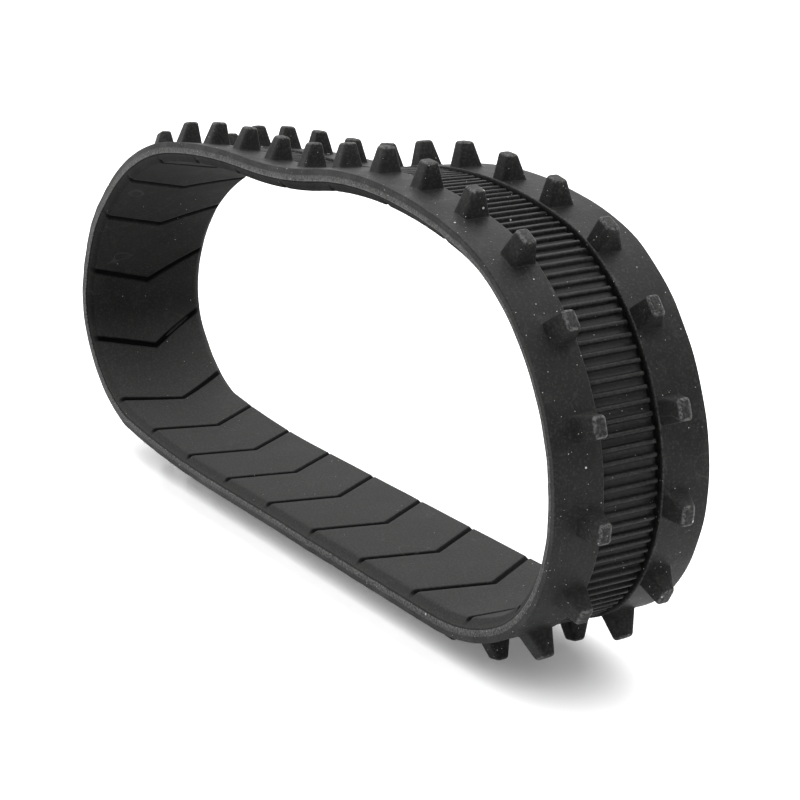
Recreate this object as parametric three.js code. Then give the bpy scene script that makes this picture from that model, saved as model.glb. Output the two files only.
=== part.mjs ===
// A small endless rubber track, standing on its guide lugs as a soft oval loop.
//
// The drive side faces outwards: two flat shoulders, each with a row of guide lugs,
// and between them a recessed channel with fine transverse ribs. The chevron tread
// faces the inside of the loop. Tension cords run all the way round between the two.
//
// Units are millimetres. +X runs along the loop, +Y across the band, +Z up. The origin
// is the middle of the loop's box, on the surface that the lugs stand on.
import * as THREE from "three";

// Band
const BAND_WIDTH = 50;
const LUG_PAIRS = 33;
const CHEVRONS = 24;
const RIBS_PER_LUG = 7;

// Outline of the shoulders' face seen from -Y: tangent arcs as [length, turn in degrees],
// from the start of the flat run that stands on the lugs, first towards +X
const LOOP = [
  [180.9, 0],
  [42.8, 23.5],
  [86.3, 81.5],
  [68.5, 60],
  [95.2, 24],
  [55.8, -10.5],
  [69.7, 7.5],
  [92.1, 31.5],
  [43.3, 28.5],
  [28.0, 53.5],
  [48.9, 54],
  [79.5, 6.5],
];

// The slack top run is twisted a little: the angle at its middle, and where it is
const TWIST = { degrees: 9.7, middle: 0.65, reach: 0.265 };

// Layers, as heights over the shoulders' face; the tread side is negative
const SHOULDER_BACK = -3.2;
const TREAD_FACE = -7.1;
const SEAM = 0.3;

// Channel between the shoulders
const CHANNEL_HALF = 9.5;
const RIB = { crest: -0.8, valley: -2, back: -4.4 };

// Guide lugs: distances from the band's middle line, lengths along the band
const LUG_HEIGHT = 8;
const LUG_BASE = { inner: CHANNEL_HALF, outer: 18.2, length: 7.4 };
const LUG_TIP = { inner: 11.5, outer: 15.3, length: 5.6 };
const LUG_PHASE = 11.5;

// Tread side: the chevrons' point lies just off the middle line, their arms run back
const TREAD_BEVEL = { height: -3.9, inset: 3 };
const CHEVRON = { phase: 26, point: 1, nearArm: 20, farArm: 35.5 };
const GROOVE = { width: 3.3, depth: 1.3 };
const POCKET = { floor: -5.2, lip: 2 };

// Tension cords in the pocket between the shoulders and the tread
const CORD_LINES = [-20.5, -16.5, -12.5, 12.5, 16.5, 20.5];
const CORD = { height: -4.15, radius: 0.5, sides: 6, sag: 0.2 };

const HALF_WIDTH = BAND_WIDTH / 2;
const LENGTH = LOOP.reduce((sum, [length]) => sum + length, 0);
const LUG_PITCH = LENGTH / LUG_PAIRS;
const CHEVRON_PITCH = LENGTH / CHEVRONS;
const RIB_PITCH = LUG_PITCH / RIBS_PER_LUG;

const rubber = (name, color, roughness) =>
  new THREE.MeshStandardMaterial({ name, color, roughness, metalness: 0 });

// Where an arc is after a stretch of it, and which way it points there.
function alongArc(arc, stretch) {
  const heading = arc.heading + arc.curvature * stretch;
  if (arc.curvature === 0) {
    const x = arc.x + stretch * Math.cos(heading);
    const z = arc.z + stretch * Math.sin(heading);
    return { x, z, heading };
  }
  const x = arc.x + (Math.sin(heading) - Math.sin(arc.heading)) / arc.curvature;
  const z = arc.z - (Math.cos(heading) - Math.cos(arc.heading)) / arc.curvature;
  return { x, z, heading };
}

// The outline's arcs with their start places, the flat run at the lugs' height.
function makeArcs() {
  const arcs = [];
  let start = { x: 0, z: LUG_HEIGHT, heading: 0 };
  let from = 0;
  for (const [length, turn] of LOOP) {
    const curvature = THREE.MathUtils.degToRad(turn) / length;
    const arc = { ...start, from, length, curvature };
    arcs.push(arc);
    start = alongArc(arc, length);
    from += length;
  }
  return arcs;
}

const ARCS = makeArcs();

// The sideways twist of the band at a distance along the loop, in radians.
function twistAt(distance) {
  const away = (distance / LENGTH - TWIST.middle) / TWIST.reach;
  if (Math.abs(away) >= 1) return 0;
  return (THREE.MathUtils.degToRad(TWIST.degrees) * (1 + Math.cos(Math.PI * away))) / 2;
}

// A point of the band: distance along the loop, place across it, height over the shoulders.
function onBand(distance, across, height) {
  const wrapped = THREE.MathUtils.euclideanModulo(distance, LENGTH);
  const arc = ARCS.findLast((candidate) => candidate.from <= wrapped);
  const { x, z, heading } = alongArc(arc, wrapped - arc.from);
  const twist = twistAt(wrapped);
  const out = height * Math.cos(twist) - across * Math.sin(twist);
  const y = across * Math.cos(twist) + height * Math.sin(twist);
  return [x + out * Math.sin(heading), y, z - out * Math.cos(heading)];
}

// A closed ring round the loop. Each station is a section of [distance, across, height]
// points, listed anticlockwise with across to the right and height up.
function ring(stations) {
  const count = stations[0].length;
  const positions = stations.flat().flatMap((point) => onBand(...point));
  const index = [];
  stations.forEach((_, station) => {
    const here = station * count;
    const next = ((station + 1) % stations.length) * count;
    for (let i = 0; i < count; i++) {
      const j = (i + 1) % count;
      index.push(here + i, next + i, next + j, here + i, next + j, here + j);
    }
  });
  const geometry = new THREE.BufferGeometry();
  geometry.setAttribute("position", new THREE.Float32BufferAttribute(positions, 3));
  geometry.setIndex(index);
  geometry.computeVertexNormals();
  return geometry;
}

// One shoulder with its row of guide lugs, on the far side (+1) or the near side (-1).
function lugStrip(side) {
  const section = (distance, raised) => {
    const top = raised ? LUG_HEIGHT : 0;
    const points = [
      [distance, CHANNEL_HALF, SHOULDER_BACK],
      [distance, HALF_WIDTH, SHOULDER_BACK],
      [distance, HALF_WIDTH, 0],
      [distance, LUG_BASE.outer, 0],
      [distance, LUG_TIP.outer, top],
      [distance, LUG_TIP.inner, top],
      [distance, LUG_BASE.inner, 0],
    ];
    if (side > 0) return points;
    return points.map(([s, across, height]) => [s, -across, height]).reverse();
  };
  const stations = [];
  const gap = LUG_PITCH - LUG_BASE.length;
  for (let lug = 0; lug < LUG_PAIRS; lug++) {
    const middle = LUG_PHASE + lug * LUG_PITCH;
    const foot = middle + LUG_BASE.length / 2;
    stations.push(
      section(middle - LUG_BASE.length / 2, false),
      section(middle - LUG_TIP.length / 2, true),
      section(middle + LUG_TIP.length / 2, true),
      section(foot, false),
      section(foot + gap / 3, false),
      section(foot + (2 * gap) / 3, false),
    );
  }
  return ring(stations);
}

// The channel's floor with its transverse ribs, which the drive wheel's teeth mesh with.
function ribStrip() {
  const half = CHANNEL_HALF - SEAM;
  const section = (distance, top) => [
    [distance, -half, RIB.back],
    [distance, half, RIB.back],
    [distance, half, top],
    [distance, -half, top],
  ];
  const stations = [];
  for (let rib = 0; rib < LUG_PAIRS * RIBS_PER_LUG; rib++) {
    stations.push(section(rib * RIB_PITCH, RIB.crest));
    stations.push(section((rib + 0.5) * RIB_PITCH, RIB.valley));
  }
  return ring(stations);
}

// How far a chevron arm has run back at a place across the band.
function armRun(across) {
  const arm = across < CHEVRON.point ? CHEVRON.nearArm : CHEVRON.farArm;
  return Math.abs(across - CHEVRON.point) * Math.tan(THREE.MathUtils.degToRad(arm));
}

// The tread band: a flat tray that holds the cords, with chevron grooves in its face.
function treadBand() {
  const face = HALF_WIDTH - TREAD_BEVEL.inset;
  const pocket = HALF_WIDTH - POCKET.lip;
  const seam = SHOULDER_BACK - SEAM;
  const section = (distance, depth) => {
    const outline = [
      [-HALF_WIDTH, TREAD_BEVEL.height],
      [-face, TREAD_FACE + depth],
      [CHEVRON.point, TREAD_FACE + depth],
      [face, TREAD_FACE + depth],
      [HALF_WIDTH, TREAD_BEVEL.height],
      [HALF_WIDTH, seam],
      [pocket, seam],
      [pocket, POCKET.floor],
      [CHEVRON.point, POCKET.floor],
      [-pocket, POCKET.floor],
      [-pocket, seam],
      [-HALF_WIDTH, seam],
    ];
    return outline.map(([across, height]) => [distance - armRun(across), across, height]);
  };
  const stations = [];
  const block = CHEVRON_PITCH - GROOVE.width;
  for (let chevron = 0; chevron < CHEVRONS; chevron++) {
    const groove = CHEVRON.phase + chevron * CHEVRON_PITCH;
    const edge = groove + GROOVE.width / 2;
    stations.push(
      section(groove - GROOVE.width / 2, 0),
      section(groove, GROOVE.depth),
      section(edge, 0),
      section(edge + block / 3, 0),
      section(edge + (2 * block) / 3, 0),
    );
  }
  return ring(stations);
}

// One endless tension cord, with stations close enough to follow each arc.
function tensionCord(line) {
  const corners = Array.from({ length: CORD.sides }, (_, i) => (i * 2 * Math.PI) / CORD.sides);
  const stations = [];
  for (const arc of ARCS) {
    const step = Math.sqrt((8 * CORD.sag) / Math.max(Math.abs(arc.curvature), 1e-6));
    const steps = Math.ceil(arc.length / step);
    for (let i = 0; i < steps; i++) {
      const distance = arc.from + (i * arc.length) / steps;
      stations.push(
        corners.map((corner) => [
          distance,
          line + CORD.radius * Math.cos(corner),
          CORD.height + CORD.radius * Math.sin(corner),
        ]),
      );
    }
  }
  return ring(stations);
}

const group = new THREE.Group();

function addPiece(name, geometry, material) {
  const mesh = new THREE.Mesh(geometry, material);
  mesh.name = name;
  group.add(mesh);
}

addPiece("near_lug_strip", lugStrip(-1), rubber("lug_rubber", 0x242526, 0.62));
addPiece("far_lug_strip", lugStrip(1), rubber("far_lug_rubber", 0x242526, 0.62));
addPiece("rib_strip", ribStrip(), rubber("rib_rubber", 0x1c1d1e, 0.58));
addPiece("tread_band", treadBand(), rubber("tread_rubber", 0x303132, 0.72));
CORD_LINES.forEach((line, i) => {
  addPiece(`tension_cord_${i + 1}`, tensionCord(line), rubber(`cord_${i + 1}`, 0xb9ab8a, 0.85));
});

// The outline starts at the flat run's end: the group moves so that the origin is
// under the middle of the whole loop.
const middle = new THREE.Box3().setFromObject(group).getCenter(new THREE.Vector3());
group.position.set(-middle.x, -middle.y, 0);

export default group;
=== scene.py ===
import math

import bmesh
import bpy
import numpy as np
from mathutils import Matrix, Vector


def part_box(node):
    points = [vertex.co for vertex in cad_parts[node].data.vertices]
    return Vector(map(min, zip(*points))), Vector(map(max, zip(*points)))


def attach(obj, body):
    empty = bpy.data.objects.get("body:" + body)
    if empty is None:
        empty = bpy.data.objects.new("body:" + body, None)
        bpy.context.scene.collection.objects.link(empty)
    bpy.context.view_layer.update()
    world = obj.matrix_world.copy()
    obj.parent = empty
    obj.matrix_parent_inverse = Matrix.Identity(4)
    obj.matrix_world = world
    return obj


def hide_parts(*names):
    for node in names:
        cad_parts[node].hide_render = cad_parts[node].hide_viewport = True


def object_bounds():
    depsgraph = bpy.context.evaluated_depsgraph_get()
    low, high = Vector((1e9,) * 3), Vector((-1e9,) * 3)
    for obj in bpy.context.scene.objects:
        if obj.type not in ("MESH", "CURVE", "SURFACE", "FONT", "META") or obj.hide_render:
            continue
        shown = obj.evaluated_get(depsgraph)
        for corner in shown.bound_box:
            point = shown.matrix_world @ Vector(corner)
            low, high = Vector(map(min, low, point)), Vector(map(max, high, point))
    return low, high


# A small endless rubber track, standing on its guide lugs on a white studio floor.
#
# The band is described as the CAD describes it: a distance along the loop, a place across
# the band and a height over the shoulders' face, in millimetres. on_band() turns those
# into points of the frame, in metres.

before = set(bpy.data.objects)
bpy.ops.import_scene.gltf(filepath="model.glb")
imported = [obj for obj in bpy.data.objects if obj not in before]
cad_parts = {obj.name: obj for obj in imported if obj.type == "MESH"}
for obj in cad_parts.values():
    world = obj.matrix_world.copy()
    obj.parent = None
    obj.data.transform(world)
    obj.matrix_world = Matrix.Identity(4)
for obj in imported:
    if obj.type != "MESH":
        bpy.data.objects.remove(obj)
CAD_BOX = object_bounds()

MM = 0.001
RANDOM = np.random.default_rng(11)

# Band
BAND_WIDTH = 50
LUG_PAIRS = 33
CHEVRONS = 24
RIBS_PER_LUG = 7

# Outline of the shoulders' face seen from -Y: tangent arcs as (length, turn in degrees),
# from the start of the flat run that stands on the lugs, first towards +X. Rounded from a
# least-squares fit to the photograph, as the twist and the camera are
LOOP = (
    (180.9, 0),
    (42.8, 23.5),
    (86.3, 81.5),
    (68.5, 60),
    (95.2, 24),
    (55.8, -10.5),
    (69.7, 7.5),
    (92.1, 31.5),
    (43.3, 28.5),
    (28.0, 53.5),
    (48.9, 54),
    (79.5, 6.5),
)

# The slack top run is twisted a little: the angle at its middle, and where it is
TWIST = {"degrees": 9.7, "middle": 0.65, "reach": 0.265}

# Layers, as heights over the shoulders' face
SHOULDER_BACK = -3.2
PIECE_SEAM = -3.25
TREAD_FACE = -7.1
SEAM_GAP = 0.02

# Shoulders: rounded corners, the mould's parting line on the side, the channel's wall
CORNER = 0.3
PARTING = {"height": -2.15, "stand": 0.03, "half": 0.16}
LIP = {"height": -3.95, "width": 0.6, "round": 0.28}
CHANNEL_HALF = 9.5

# Guide lugs: distances from the band's middle line, lengths along the band
LUG_HEIGHT = 8
LUG_BASE = {"inner": 9.9, "outer": 18.2, "length": 7.4}
LUG_TIP = {"inner": 11.5, "outer": 15.3, "length": 5.6}
LUG_PHASE = 11.5
LUG_FOOT_FILLET = 0.35
LUG_TIP_ROUND = 0.9
LUG_EDGE_ROUND = 1.1
LUG_SIDES = (12, 10)

# Ribs across the channel, as shares of their pitch on each side of the crest
RIB = {"crest": -0.75, "valley": -1.95, "back": -4.4, "flat": 0.11, "foot": 0.25}
RIB_ENDS = {"near": -9.3, "far": 8.3, "gutter": -2.9}

# Tread side
TREAD_BEVEL = {"height": -3.9, "inset": 3}
CHEVRON = {"phase": 26, "point": 1, "near_arm": 20, "far_arm": 35.5}
GROOVE = {"width": 3.3, "depth": 1.3}
BLOCK_CROWN = 0.22
# Painted top light: how much lighter grey the tread is painted where it faces up, standing in for
# light from above
PAINTED_TOP_LIGHT = 0.4
POCKET = {"floor": -5.2, "lip": 2}

# Unevenness: how far the edges wander and from where, lugs lean and ribs differ in height
EDGE_WAVES = 26
EDGE_WAVE = 0.07
EDGE_WAVE_START = 20
LUG_LEAN = 0.09
RIB_UNEVEN = 0.035

HALF_WIDTH = BAND_WIDTH / 2
LENGTH = sum(length for length, _ in LOOP)
LUG_PITCH = LENGTH / LUG_PAIRS
CHEVRON_PITCH = LENGTH / CHEVRONS
RIB_PITCH = LUG_PITCH / RIBS_PER_LUG

# Camera: the angle it looks from, its roll, its lens and its place
CAMERA = {"azimuth": 63.655, "elevation": 14.991, "roll": -3.446, "lens": 100.6}
CAMERA_PLACE = (0.68454, -0.3136, 0.25175)

FLOOR_SIZE = 60.0

# Studio: the dim side behind the camera, the bright side opposite, the ceiling's extra
# light and the light table's own
DIM_SIDE = 45
WALL_LIGHT = (0.3, 1.45)
WALL_SPREAD = (-0.7, 0.3)
CEILING_LIGHT = 2.2
CEILING_SPREAD = (0.35, 0.95)
KEY = {"place": (-0.1, 0.5, 1.5), "size": (1.6, 1.6), "power": 5}
TABLE_GLOW = 0.15


# ---- The band's shape ----


def along_arc(x, z, heading, curvature, stretch):
    """Where an arc is after a stretch of it, and which way it points there."""
    half_turn = curvature * stretch / 2
    chord = stretch * np.sinc(half_turn / np.pi)
    middle = heading + half_turn
    return x + chord * np.cos(middle), z + chord * np.sin(middle), heading + 2 * half_turn


def make_arcs():
    """The outline's arcs: the distance where each starts, x, z, heading and curvature."""
    arcs = []
    start, x, z, heading = 0.0, 0.0, LUG_HEIGHT, 0.0
    for length, turn in LOOP:
        curvature = math.radians(turn) / length
        arcs.append((start, x, z, heading, curvature))
        x, z, heading = along_arc(x, z, heading, curvature, length)
        start += length
    return np.array(arcs)


ARCS = make_arcs()


def twist_at(distance):
    """The sideways twist of the band at distances along the loop, in radians."""
    away = np.clip((distance / LENGTH - TWIST["middle"]) / TWIST["reach"], -1, 1)
    return math.radians(TWIST["degrees"]) * (1 + np.cos(np.pi * away)) / 2


def on_loop(distance, across, height):
    """Points of the band measured from the outline's start, in millimetres."""
    distance, across, height = np.broadcast_arrays(distance, across, height)
    wrapped = np.mod(distance, LENGTH)
    arc = ARCS[np.searchsorted(ARCS[:, 0], wrapped, side="right") - 1]
    start, x, z, heading, curvature = np.moveaxis(arc, -1, 0)
    x, z, heading = along_arc(x, z, heading, curvature, wrapped - start)
    twist = twist_at(wrapped)
    out = height * np.cos(twist) - across * np.sin(twist)
    y = across * np.cos(twist) + height * np.sin(twist)
    return np.stack([x + out * np.sin(heading), y, z - out * np.cos(heading)], axis=-1)


def find_origin():
    """The outline's start in the frame, from the box of the near shoulder and its lugs."""
    middles = LUG_PHASE + LUG_PITCH * np.arange(LUG_PAIRS)[:, None, None]
    ends = np.array([-0.5, 0.5])[:, None] * LUG_TIP["length"]
    tips = on_loop(middles + ends, -np.array([LUG_TIP["inner"], LUG_TIP["outer"]]), LUG_HEIGHT)
    edge = on_loop(np.linspace(0, LENGTH, 1000)[:, None], -HALF_WIDTH, np.array([0, SHOULDER_BACK]))
    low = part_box("near_lug_strip")[0]
    return np.array([low.x - tips[..., 0].min() * MM, low.y - edge[..., 1].min() * MM, 0])


ORIGIN = find_origin()
WAVE_PHASES = RANDOM.uniform(0, 2 * np.pi, (2, EDGE_WAVES))
WAVE_SIZES = RANDOM.normal(0, 1, (2, EDGE_WAVES)) / np.sqrt(np.arange(2, EDGE_WAVES + 2))


def upward(distance):
    """How far the tread faces up at distances along the loop, from 0 to 1."""
    wrapped = np.mod(distance, LENGTH)
    arc = ARCS[np.searchsorted(ARCS[:, 0], wrapped, side="right") - 1]
    heading = arc[..., 3] + arc[..., 4] * (wrapped - arc[..., 0])
    return np.clip(np.cos(heading), 0, 1)


def edge_wave(distance, side):
    """How far a moulded edge wanders sideways at distances along the loop."""
    turns = 2 * np.pi * distance[..., None] / LENGTH * (3 * np.arange(EDGE_WAVES) + 4)
    return EDGE_WAVE * (WAVE_SIZES[side] * np.sin(turns + WAVE_PHASES[side])).sum(axis=-1)


def on_band(distance, across, height):
    """Points of the band in the frame, in metres, with its edges' slight unevenness."""
    distance, across, height = np.broadcast_arrays(distance, across, height)
    beyond = (np.abs(across) - EDGE_WAVE_START) / (HALF_WIDTH - EDGE_WAVE_START)
    reach = np.clip(beyond, 0, 1) ** 2
    wander = np.where(across < 0, edge_wave(distance, 0), edge_wave(distance, 1))
    return on_loop(distance, across + reach * wander, height) * MM + ORIGIN


# ---- Meshes ----


def make_piece(name, points, faces, wear_and_painted_shading, material, nodes):
    """A closed piece that stands for CAD nodes, with its scuffing and painted shading as a point
    attribute.
    """
    mesh = bpy.data.meshes.new(name)
    mesh.from_pydata(points.reshape(-1, 3).tolist(), [], faces)
    attribute = mesh.attributes.new("wear_and_painted_shading", "FLOAT", "POINT")
    attribute.data.foreach_set("value", np.asarray(wear_and_painted_shading, np.float32).ravel())
    weld_and_orient(mesh)
    mesh.polygons.foreach_set("use_smooth", [True] * len(mesh.polygons))
    mesh.set_sharp_from_angle(angle=math.radians(48))
    mesh.materials.append(material)
    piece = bpy.data.objects.new(name, mesh)
    bpy.context.scene.collection.objects.link(piece)
    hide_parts(*nodes)
    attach(piece, "root")
    return piece


def weld_and_orient(mesh):
    """Joins the points that neighbouring patches share and turns every face outwards."""
    work = bmesh.new()
    work.from_mesh(mesh)
    bmesh.ops.remove_doubles(work, verts=work.verts, dist=1e-3 * MM)
    bmesh.ops.recalc_face_normals(work, faces=work.faces)
    work.to_mesh(mesh)
    work.free()


def grid_faces(rows, columns, first=0, close_rows=False, close_columns=False):
    """Quads of a grid of points, numbered row by row."""
    faces = []
    for row in range(rows if close_rows else rows - 1):
        here = first + row * columns
        there = first + (row + 1) % rows * columns
        for column in range(columns if close_columns else columns - 1):
            after = (column + 1) % columns
            faces.append((here + column, there + column, there + after, here + after))
    return faces


def quarter(steps):
    """Angles of a quarter turn, in even steps."""
    return [math.pi / 2 * i / steps for i in range(steps + 1)]


# ---- Shoulders with their guide lugs ----


def border(spread):
    """Points round a square from -1 to 1, the same number on opposite sides."""
    along, over = LUG_SIDES
    u = spread(np.linspace(-1, 1, along + 1)[:-1])
    v = spread(np.linspace(-1, 1, over + 1)[:-1])
    sides = [
        (u, -np.ones(along)),
        (np.ones(over), v),
        (-u, np.ones(along)),
        (-np.ones(over), -v),
    ]
    return np.concatenate([np.stack(side, axis=-1) for side in sides])


EVEN_BORDER = border(lambda t: t)
CORNER_BORDER = border(lambda t: np.sin(np.pi / 2 * t))


def rounded_ring(half_length, inner, outer, radius):
    """A rounded rectangle between two places across the band: (along, across) points."""
    half = np.array([half_length, (outer - inner) / 2])
    sharp = CORNER_BORDER * half
    core = np.clip(sharp, -(half - radius), half - radius)
    step = sharp - core
    reach = np.maximum(np.hypot(step[:, 0], step[:, 1]), 1e-9)[:, None]
    middle = np.array([0, (inner + outer) / 2])
    return middle + core + radius * step / reach


def lug_outline(height, spread=0.0, radius=LUG_EDGE_ROUND):
    """The lug's outline at a height, spread outwards except towards the channel."""
    share = height / LUG_HEIGHT
    inner, outer, length = (
        LUG_BASE[key] + (LUG_TIP[key] - LUG_BASE[key]) * share
        for key in ("inner", "outer", "length")
    )
    inner = inner + max(-spread, -0.04 * spread)
    return rounded_ring(length / 2 + spread, inner, outer + spread, radius + spread / 2)


def lug_rings():
    """Rings from the cell's border over the lug to its top: points, heights and wear."""
    floor_half = np.array([LUG_PITCH / 2, (HALF_WIDTH - CHANNEL_HALF) / 2 - CORNER])
    floor_middle = np.array([0, (HALF_WIDTH + CHANNEL_HALF) / 2])
    cell = floor_middle + EVEN_BORDER * floor_half
    foot = lug_outline(0, LUG_FOOT_FILLET)
    rings = [(cell + (foot - cell) * share, 0, 0) for share in (0, 0.35, 0.7)]
    for turn in quarter(4):
        spread = LUG_FOOT_FILLET * (1 - math.sin(turn))
        height = LUG_FOOT_FILLET * (1 - math.cos(turn))
        rings.append((lug_outline(height, spread), height, 0))
    shaft = LUG_HEIGHT - LUG_TIP_ROUND
    for share in (0.35, 0.7):
        height = LUG_FOOT_FILLET + (shaft - LUG_FOOT_FILLET) * share
        rings.append((lug_outline(height), height, 0.1 * share))
    for turn in quarter(4):
        inset = LUG_TIP_ROUND * (1 - math.cos(turn))
        height = shaft + LUG_TIP_ROUND * math.sin(turn)
        radius = LUG_EDGE_ROUND - 0.6 * inset
        wear_and_painted_shading = 0.1 + 0.8 * math.sin(2 * turn)
        rings.append((lug_outline(height, -inset, radius), height, wear_and_painted_shading))
    top = rings[-1][0]
    middle = top.mean(axis=0)
    rings.append((middle + (top - middle) * 0.8, LUG_HEIGHT, 0.22))
    rings.append((middle + (top - middle) * 0.4, LUG_HEIGHT, 0.18))
    return rings


def lug_field(side):
    """Every lug's cell on one shoulder: points, faces and wear."""
    rings = lug_rings()
    count = len(EVEN_BORDER)
    centre = rings[-1][0].mean(axis=0)
    flat = np.concatenate([ring for ring, _, _ in rings] + [centre[None]])
    height = np.concatenate([np.full(count, h) for _, h, _ in rings] + [[LUG_HEIGHT]])
    wear_and_painted_shading = np.concatenate([np.full(count, w) for _, _, w in rings] + [[0.18]])
    share = height / LUG_HEIGHT
    points, faces = [], []
    for lug in range(LUG_PAIRS):
        lean = RANDOM.normal(0, LUG_LEAN, 2)
        lug_middle = LUG_PHASE + lug * LUG_PITCH
        distance = lug_middle + flat[:, 0] + lean[0] * share**1.5
        across = side * (flat[:, 1] + lean[1] * share**1.5)
        first = lug * len(flat)
        points.append(on_band(distance, across, height))
        faces += grid_faces(len(rings), count, first, close_columns=True)
        last = first + (len(rings) - 1) * count
        faces += [(last + i, last + (i + 1) % count, first + len(flat) - 1) for i in range(count)]
    return np.concatenate(points), faces, np.tile(wear_and_painted_shading, LUG_PAIRS)


def corner_rows(edge, inwards, wear_and_painted_shading):
    """A shoulder's rounded corner, from its face down to its side: across, height, wear."""
    turns = quarter(3)
    places = [edge + inwards * CORNER * (1 - math.sin(turn)) for turn in turns]
    return [(place, -CORNER * (1 - math.cos(turn)), wear_and_painted_shading) for place, turn in zip(places, turns)]


def shoulder_section():
    """The rest of a shoulder's section, from its outer corner down, in and up the wall."""
    rows = corner_rows(HALF_WIDTH, -1, 0.05)
    line, stand, half = PARTING["height"], PARTING["stand"], PARTING["half"]
    # The side face is painted darker just under the shoulder's corner, as painted shade, and
    # lighter down towards the lip, partly scuffing and partly painted light
    rows += [(HALF_WIDTH, line / 2, -0.15), (HALF_WIDTH, line + half, 0.1)]
    rows += [(HALF_WIDTH + stand, line, 0.7), (HALF_WIDTH, line - half, 0.6)]
    low, fine = LIP["height"], LIP["round"]
    inside = HALF_WIDTH - LIP["width"]
    rows += [(HALF_WIDTH, low + 2 * fine, 0.8), (HALF_WIDTH - 0.3 * fine, low + fine, 1)]
    # Painted shade under the lip where it turns in to the seam
    rows += [(HALF_WIDTH - fine, low, 1), (inside, low, -0.6), (inside, PIECE_SEAM, 0)]
    # Painted shade halfway up the channel's wall
    rows += [(CHANNEL_HALF, PIECE_SEAM, 0), (CHANNEL_HALF, PIECE_SEAM / 2, -0.5)]
    rows += corner_rows(CHANNEL_HALF, 1, 0.3)[::-1]
    return np.array(rows)


def make_lug_strip(name, side, material):
    """One shoulder and its row of lugs, on the far side (1) or the near side (-1)."""
    top, faces, top_wear = lug_field(side)
    along = LUG_SIDES[0]
    steps = (np.arange(LUG_PAIRS * along) / along - 0.5) * LUG_PITCH + LUG_PHASE
    section = shoulder_section()
    body = on_band(steps[:, None], side * section[:, 0], section[:, 1])
    faces += grid_faces(len(steps), len(section), len(top), close_rows=True)
    wear_and_painted_shading = np.concatenate([top_wear, np.tile(section[:, 2], len(steps))])
    points = np.concatenate([top, body.reshape(-1, 3)])
    return make_piece(name + "_rubber", points, faces, wear_and_painted_shading, material, [name])


# ---- Channel with its ribs ----


def rib_profile():
    """A rib from valley to valley: shares of the pitch, heights, as (share, height)."""
    rise = RIB["crest"] - RIB["valley"]
    shares = np.linspace(0, 1, 6)
    flank = RIB["flat"] + (RIB["foot"] - RIB["flat"]) * shares
    height = RIB["valley"] + rise * (0.5 + 0.5 * np.cos(np.pi * shares))
    right = [(0, RIB["crest"] + 0.08), (RIB["flat"] / 2, RIB["crest"] + 0.06), *zip(flank, height)]
    return np.array([(-s, h) for s, h in right[:0:-1]] + right + [(0.5, RIB["valley"])])


def make_rib_strip(material):
    """The channel's floor with its rounded ribs, one closed ring."""
    profile = rib_profile()
    ribs = np.arange(LUG_PAIRS * RIBS_PER_LUG)[:, None]
    lift = RANDOM.normal(0, RIB_UNEVEN, ribs.shape)
    distance = ((ribs + profile[:, 0]) * RIB_PITCH).reshape(-1, 1)
    share = (profile[:, 1] - RIB["valley"]) / (RIB["crest"] - RIB["valley"])
    crest = (profile[:, 1] + lift * share).reshape(-1, 1)
    half = CHANNEL_HALF - SEAM_GAP
    near, far = RIB_ENDS["near"], RIB_ENDS["far"]
    places = np.array([-half, near, near * 0.6, 0, far * 0.6, far - 0.35, far, far + 0.2, half])
    across = np.concatenate([places, [half, -half]])
    droop = np.array([0.1, 0, 0, 0, 0, 0, 0.15, 0, 0, 0, 0])
    height = np.repeat(crest, len(across), axis=1) - droop
    height[:, 7:9] = RIB_ENDS["gutter"]
    height[:, 9:] = RIB["back"]
    points = on_band(distance, across, height)
    faces = grid_faces(len(distance), len(across), close_rows=True, close_columns=True)
    wear_and_painted_shading = np.repeat(np.tile(np.clip(share, 0, 1), len(ribs))[:, None] * 0.5, len(across), axis=1)
    # Painted shade: the gutter by the far wall and the hidden back are painted to the darkest tone
    wear_and_painted_shading[:, 7:] = -1
    return make_piece(
        "rib_rubber_strip", points, faces, wear_and_painted_shading, material, ["rib_strip"]
    )


# ---- Tread side ----


def arm_run(across):
    """How far a chevron arm has run back at places across the band."""
    arm = np.where(across < CHEVRON["point"], CHEVRON["near_arm"], CHEVRON["far_arm"])
    return np.abs(across - CHEVRON["point"]) * np.tan(np.radians(arm))


def tread_stations():
    """Distances of the tread's sections, with the groove's depth and the block's crown."""
    cut = np.array([-0.75, -0.5, -0.4, -0.28, -0.15, 0, 0.15, 0.28, 0.4, 0.5, 0.75])
    depth = np.array([0, 0.02, 0.25, 0.75, 0.97, 1, 0.97, 0.75, 0.25, 0.02, 0]) * GROOVE["depth"]
    ends = cut[-1] * GROOVE["width"]
    block = np.linspace(ends, CHEVRON_PITCH - ends, 15)[1:-1]
    offsets = np.concatenate([cut * GROOVE["width"], block])
    depths = np.concatenate([depth, np.zeros(len(block))])
    crown = BLOCK_CROWN * np.sin(np.pi * np.clip(offsets, 0, CHEVRON_PITCH) / CHEVRON_PITCH)
    starts = CHEVRON["phase"] + CHEVRON_PITCH * np.arange(CHEVRONS)[:, None]
    return (starts + offsets).ravel(), np.tile(depths, CHEVRONS), np.tile(crown, CHEVRONS)


def tread_half(side):
    """The visible outline on one side, from the seam to the tread's face: across, height,
    how deep a groove is there, and wear."""
    edge = HALF_WIDTH - LIP["width"] - SEAM_GAP
    low = TREAD_BEVEL["height"] - LIP["width"]
    face = HALF_WIDTH - TREAD_BEVEL["inset"]
    rows = [
        (edge, PIECE_SEAM - SEAM_GAP, 0, 0),
        (edge, low + 0.15, 0, 0),
        (edge - 0.12, low, 0, 0.1),
        (face + 1.2, TREAD_FACE + 1.25, 0.15, 0),
        (face + 0.45, TREAD_FACE + 0.4, 0.6, 0),
        (face, TREAD_FACE + 0.1, 0.9, 0.1),
        (face - 0.6, TREAD_FACE, 1, 0.1),
    ]
    return np.array(rows) * [side, 1, 1, 1]


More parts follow.
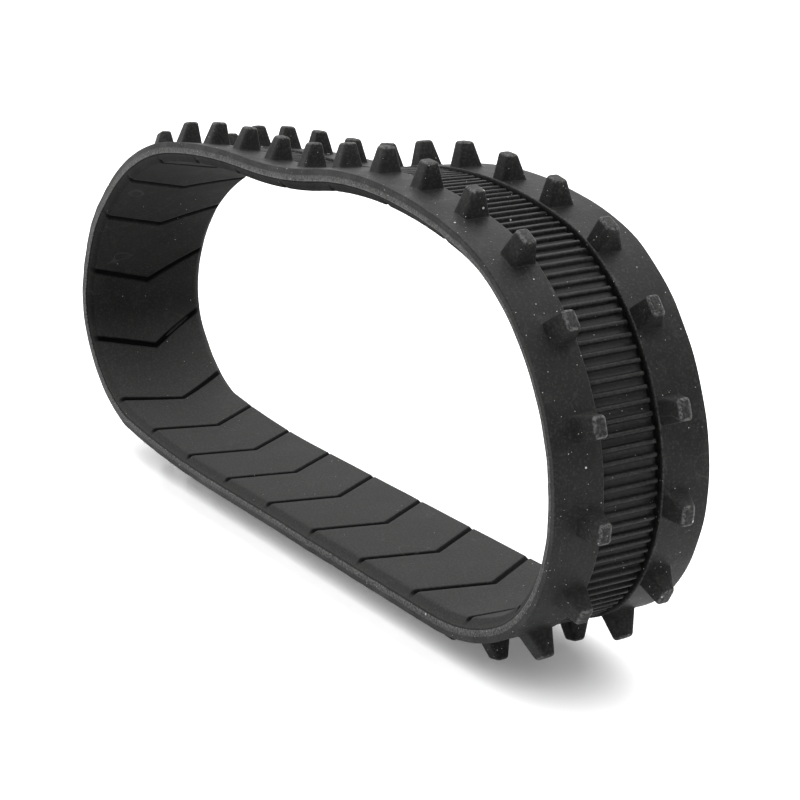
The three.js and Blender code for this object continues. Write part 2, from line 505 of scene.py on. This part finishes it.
def tread_section():
    """The tread band's closed outline: across, height, groove share, wear."""
    face = HALF_WIDTH - TREAD_BEVEL["inset"] - 0.6
    middle = [*np.linspace(-face, face, 15)[1:-1], CHEVRON["point"]]
    inner = np.array([(a, TREAD_FACE, 1, 0.1) for a in sorted(middle)])
    pocket = HALF_WIDTH - POCKET["lip"]
    seam = PIECE_SEAM - SEAM_GAP
    back = [(pocket, seam), (pocket, POCKET["floor"]), (CHEVRON["point"], POCKET["floor"])]
    back += [(-pocket, POCKET["floor"]), (-pocket, seam)]
    hidden = np.array([(a, h, 0, 0) for a, h in back])
    return np.concatenate([tread_half(-1), inner, tread_half(1)[::-1], hidden])


def make_tread_band(material):
    """The inner band: chevron blocks, bevels and the tray that holds the cords."""
    distance, depth, crown = (values[:, None] for values in tread_stations())
    across, height, groove, wear_and_painted_shading = tread_section().T
    lift = groove * (depth - crown * np.cos(np.pi / 2 * across / HALF_WIDTH))
    points = on_band(distance - arm_run(across), across, height + lift)
    faces = grid_faces(len(distance), len(across), close_rows=True, close_columns=True)
    # Painted shade: the grooves are painted darker the deeper they are cut, down to the darkest
    # tone
    cut = groove * np.minimum(1.6 * depth / GROOVE["depth"], 1)
    # Painted top light: the tread is painted lighter the more it faces up
    painted_top_light = PAINTED_TOP_LIGHT * upward(distance - arm_run(across))
    wear_and_painted_shading = (wear_and_painted_shading + painted_top_light) * (1 - cut) - cut
    return make_piece(
        "tread_rubber_band", points, faces, wear_and_painted_shading, material, ["tread_band"]
    )


# ---- Materials ----


class Nodes:
    """Short names for adding and joining a material's nodes."""

    def __init__(self, tree):
        self.tree = tree

    def add(self, kind, **settings):
        node = self.tree.nodes.new("ShaderNode" + kind)
        for key, value in settings.items():
            setattr(node, key, value)
        return node

    def join(self, source, target):
        self.tree.links.new(source, target)

    def math(self, operation, first, second=0.5, clamp=False):
        node = self.add("Math", operation=operation, use_clamp=clamp)
        for socket, value in zip(node.inputs, (first, second)):
            if isinstance(value, (int, float)):
                socket.default_value = value
            else:
                self.join(value, socket)
        return node.outputs[0]

    def remap(self, value, low, high, to_low=0.0, to_high=1.0):
        node = self.add("MapRange", interpolation_type="SMOOTHSTEP")
        node.inputs["From Min"].default_value = low
        node.inputs["From Max"].default_value = high
        node.inputs["To Min"].default_value = to_low
        node.inputs["To Max"].default_value = to_high
        self.join(value, node.inputs["Value"])
        return node.outputs["Result"]

    def blend(self, share, first, second):
        node = self.add("Mix", data_type="RGBA")
        sockets = (node.inputs[0], node.inputs[6], node.inputs[7])
        for socket, value in zip(sockets, (share, first, second)):
            if isinstance(value, (tuple, float)):
                socket.default_value = value
            else:
                self.join(value, socket)
        return node.outputs[2]

    def noise(self, where, size, detail=4.0, roughness=0.55):
        """Noise whose features are about that many millimetres across."""
        node = self.add("TexNoise")
        node.inputs["Scale"].default_value = 1 / (size * MM)
        node.inputs["Detail"].default_value = detail
        node.inputs["Roughness"].default_value = roughness
        self.join(where, node.inputs["Vector"])
        return node.outputs["Fac"]

    def cells(self, where, size):
        """Cells about that many millimetres across: distance to the centre, and colour."""
        node = self.add("TexVoronoi")
        node.inputs["Scale"].default_value = 1 / (size * MM)
        self.join(where, node.inputs["Vector"])
        return node.outputs["Distance"], node.outputs["Color"]


def black(value):
    """Black rubber's faintly greenish neutral."""
    return (value * 0.97, value * 1.04, value * 0.96, 1.0)


def grey(value, warmth=0.0):
    """A nearly neutral colour, warmer for a positive warmth."""
    return (value * (1 + warmth), value, value * (1 - warmth), 1.0)


def specks(nodes, where, size, share):
    """Scattered dust specks: 1 on a speck and 0 elsewhere."""
    distance, colour = nodes.cells(where, size)
    split = nodes.add("SeparateColor")
    nodes.join(colour, split.inputs[0])
    radius = nodes.remap(split.outputs[0], 1 - share, 1, 0.0, 0.14)
    inside = nodes.math("SUBTRACT", radius, distance)
    return nodes.remap(inside, 0.0, 0.03)


def scratches(nodes, where, size):
    """Faint curved hairlines where a noise crosses its middle value, in patches."""
    lines = nodes.math("ABSOLUTE", nodes.math("SUBTRACT", nodes.noise(where, size, 1.0), 0.5))
    thin = nodes.remap(lines, 0.0, 0.006, 1.0, 0.0)
    patches = nodes.remap(nodes.noise(where, size * 1.7), 0.56, 0.66)
    return nodes.math("MULTIPLY", thin, patches)


def rubber(name, shade, roughness, dust, scuff_and_top_light, grain, specular, even):
    """Black moulded rubber: cloudy bloom, dust, hairline scratches, scuffed high spots, with
    painted shade where the point attribute is below zero and painted top light on the tread.
    """
    material = bpy.data.materials.new(name)
    material.use_nodes = True
    nodes = Nodes(material.node_tree)
    shader = material.node_tree.nodes["Principled BSDF"]
    where = nodes.add("TexCoord").outputs["Object"]
    clouds = nodes.noise(where, 22.0, 5.0, 0.6)
    mottle = nodes.noise(where, 2.6, 6.0, 0.65)
    fine = nodes.noise(where, 0.8, 4.0, 0.7)
    smudge = nodes.noise(where, 6.5, 4.0, 0.7)
    wear_and_painted_shading = nodes.add("Attribute", attribute_name="wear_and_painted_shading").outputs["Fac"]
    raised = nodes.math("MAXIMUM", wear_and_painted_shading, 0.0)
    broken = nodes.math("MULTIPLY", raised, nodes.remap(fine, 0.4, 0.6, even, 1.0))
    body = nodes.blend(nodes.remap(clouds, 0.35, 0.65), black(shade * 0.7), black(shade * 1.5))
    body = nodes.blend(nodes.remap(mottle, 0.5, 0.75, 0.0, 0.5), body, black(shade * 2.6))
    body = nodes.blend(nodes.remap(smudge, 0.56, 0.72, 0.0, 0.6), body, black(shade * 3.2))
    body = nodes.blend(nodes.remap(fine, 0.5, 0.68, 0.0, 0.6), body, black(shade * 4.5))
    # Painted shade: below zero the point attribute darkens the rubber towards a quarter of its tone
    body = nodes.blend(nodes.remap(wear_and_painted_shading, -1.0, 0.0, 1.0, 0.0), body, black(shade * 0.25))
    # Scuffed high spots turn towards grey; on the tread this grey also carries the painted top
    # light
    body = nodes.blend(nodes.math("MULTIPLY", broken, scuff_and_top_light), body, grey(0.17, 0.01))
    hairs = nodes.math("MULTIPLY", scratches(nodes, where, 24.0), 0.06)
    body = nodes.blend(hairs, body, grey(0.22, 0.03))
    small = specks(nodes, where, 1.2, dust)
    flecks = nodes.math("MAXIMUM", small, specks(nodes, where, 2.9, dust * 0.25))
    body = nodes.blend(nodes.math("MULTIPLY", flecks, 0.7), body, grey(0.55, 0.02))
    nodes.join(body, shader.inputs["Base Color"])
    gloss = nodes.remap(clouds, 0.3, 0.72, roughness - 0.07, roughness + 0.09)
    gloss = nodes.math("ADD", gloss, nodes.math("MULTIPLY", broken, 0.12), clamp=True)
    nodes.join(gloss, shader.inputs["Roughness"])
    shader.inputs["Specular IOR Level"].default_value = specular
    waves = nodes.math("MULTIPLY", mottle, 1.6)
    relief = nodes.math("ADD", nodes.math("MULTIPLY", fine, grain), waves)
    relief = nodes.math("ADD", relief, nodes.math("MULTIPLY", flecks, 0.8))
    bump = nodes.add("Bump")
    bump.inputs["Strength"].default_value = 0.55
    bump.inputs["Distance"].default_value = 0.06 * MM
    nodes.join(relief, bump.inputs["Height"])
    nodes.join(bump.outputs["Normal"], shader.inputs["Normal"])
    return material


def cord_yarn(name):
    """Twisted polyester cord: lay lines across it, fine fibres and a waxy dip."""
    material = bpy.data.materials.new(name)
    material.use_nodes = True
    nodes = Nodes(material.node_tree)
    shader = material.node_tree.nodes["Principled BSDF"]
    where = nodes.add("TexCoord").outputs["Object"]
    lay = nodes.add("TexWave", wave_type="BANDS", bands_direction="DIAGONAL")
    lay.inputs["Scale"].default_value = 0.25 / MM
    lay.inputs["Distortion"].default_value = 1.2
    nodes.join(where, lay.inputs["Vector"])
    fibre = nodes.noise(where, 0.2, 3.0)
    strand = nodes.remap(lay.outputs["Fac"], 0.1, 0.7)
    tone = nodes.blend(strand, grey(0.2, 0.18), grey(0.5, 0.16))
    tone = nodes.blend(nodes.remap(fibre, 0.45, 0.7, 0.0, 0.5), tone, grey(0.62, 0.12))
    nodes.join(tone, shader.inputs["Base Color"])
    nodes.join(nodes.remap(fibre, 0.3, 0.7, 0.62, 0.85), shader.inputs["Roughness"])
    bump = nodes.add("Bump")
    bump.inputs["Strength"].default_value = 0.7
    bump.inputs["Distance"].default_value = 0.1 * MM
    nodes.join(nodes.math("ADD", strand, nodes.math("MULTIPLY", fibre, 0.4)), bump.inputs["Height"])
    nodes.join(bump.outputs["Normal"], shader.inputs["Normal"])
    return material


def studio_floor():
    """A smooth white table top, faintly lit from below and with the faintest unevenness."""
    material = bpy.data.materials.new("white_table")
    material.use_nodes = True
    nodes = Nodes(material.node_tree)
    shader = material.node_tree.nodes["Principled BSDF"]
    where = nodes.add("TexCoord").outputs["Object"]
    haze = nodes.noise(where, 60.0, 3.0)
    tone = nodes.blend(nodes.remap(haze, 0.3, 0.7), grey(0.86), grey(0.88))
    nodes.join(tone, shader.inputs["Base Color"])
    nodes.join(nodes.remap(haze, 0.3, 0.7, 0.28, 0.34), shader.inputs["Roughness"])
    shader.inputs["Specular IOR Level"].default_value = 0.3
    shader.inputs["Emission Color"].default_value = (1, 1, 1, 1)
    shader.inputs["Emission Strength"].default_value = TABLE_GLOW
    return material


# ---- Studio ----


def make_floor():
    """One large white square that the track stands on."""
    mesh = bpy.data.meshes.new("floor")
    half = FLOOR_SIZE / 2
    corners = [(-half, -half, 0), (half, -half, 0), (half, half, 0), (-half, half, 0)]
    mesh.from_pydata(corners, [], [(0, 1, 2, 3)])
    mesh.materials.append(studio_floor())
    floor = bpy.data.objects.new("floor", mesh)
    bpy.context.scene.collection.objects.link(floor)


def make_world():
    """White surroundings: dim behind the camera, bright opposite, brightest overhead."""
    world = bpy.data.worlds.new("white_studio")
    world.use_nodes = True
    nodes = Nodes(world.node_tree)
    background = world.node_tree.nodes["Background"]
    background.inputs["Color"].default_value = (1, 1, 1, 1)
    azimuth = math.radians(DIM_SIDE)
    where = nodes.add("TexCoord").outputs["Generated"]
    facing = nodes.add("VectorMath", operation="DOT_PRODUCT")
    facing.inputs[1].default_value = (-math.sin(azimuth), math.cos(azimuth), 0)
    nodes.join(where, facing.inputs[0])
    split = nodes.add("SeparateXYZ")
    nodes.join(where, split.inputs[0])
    wall = nodes.remap(facing.outputs["Value"], *WALL_SPREAD, *WALL_LIGHT)
    ceiling = nodes.remap(split.outputs["Z"], *CEILING_SPREAD, 0.0, CEILING_LIGHT)
    nodes.join(nodes.math("ADD", wall, ceiling), background.inputs["Strength"])
    bpy.context.scene.world = world


def softbox(name, place, target, size, power):
    """A soft rectangular light that faces a point."""
    light = bpy.data.lights.new(name, "AREA")
    light.shape = "RECTANGLE"
    light.size, light.size_y = size
    light.energy = power
    lamp = bpy.data.objects.new(name, light)
    lamp.location = place
    lamp.rotation_mode = "QUATERNION"
    lamp.rotation_quaternion = (Vector(target) - Vector(place)).to_track_quat("-Z", "Y")
    bpy.context.scene.collection.objects.link(lamp)


def make_camera():
    """The camera at the photograph's angle, levelled first and then rolled."""
    azimuth, elevation, roll = (math.radians(CAMERA[k]) for k in ("azimuth", "elevation", "roll"))
    back = Vector(
        (
            math.sin(azimuth) * math.cos(elevation),
            -math.cos(azimuth) * math.cos(elevation),
            math.sin(elevation),
        )
    )
    level = Vector((math.cos(azimuth), math.sin(azimuth), 0))
    upright = back.cross(level)
    right = math.cos(roll) * level + math.sin(roll) * upright
    up = -math.sin(roll) * level + math.cos(roll) * upright
    data = bpy.data.cameras.new("camera")
    data.lens = CAMERA["lens"]
    data.sensor_width = 36
    camera = bpy.data.objects.new("camera", data)
    turn = Matrix((right, up, back)).transposed()
    camera.matrix_world = Matrix.Translation(CAMERA_PLACE) @ turn.to_4x4()
    bpy.context.scene.collection.objects.link(camera)
    bpy.context.scene.camera = camera


def build_track():
    lugs = rubber("lug_rubber_black", 0.006, 0.55, 0.42, 0.55, 2.6, 0.12, 0.15)
    ribs = rubber("rib_rubber_black", 0.0044, 0.45, 0.16, 0.1, 1.2, 0.14, 0.15)
    tread = rubber("tread_rubber_black", 0.004, 0.75, 0.05, 0.4, 1.2, 0.05, 0.8)
    make_lug_strip("near_lug_strip", -1, lugs)
    make_lug_strip("far_lug_strip", 1, lugs)
    make_rib_strip(ribs)
    make_tread_band(tread)
    yarn = cord_yarn("cord_yarn")
    for name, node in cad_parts.items():
        if name.startswith("tension_cord"):
            node.data.materials.clear()
            node.data.materials.append(yarn)


def build_studio():
    middle = (CAD_BOX[0] + CAD_BOX[1]) / 2
    make_floor()
    make_world()
    softbox("key", KEY["place"], middle, KEY["size"], KEY["power"])
    make_camera()
    bpy.context.scene.view_settings.view_transform = "Standard"


build_track()
build_studio()
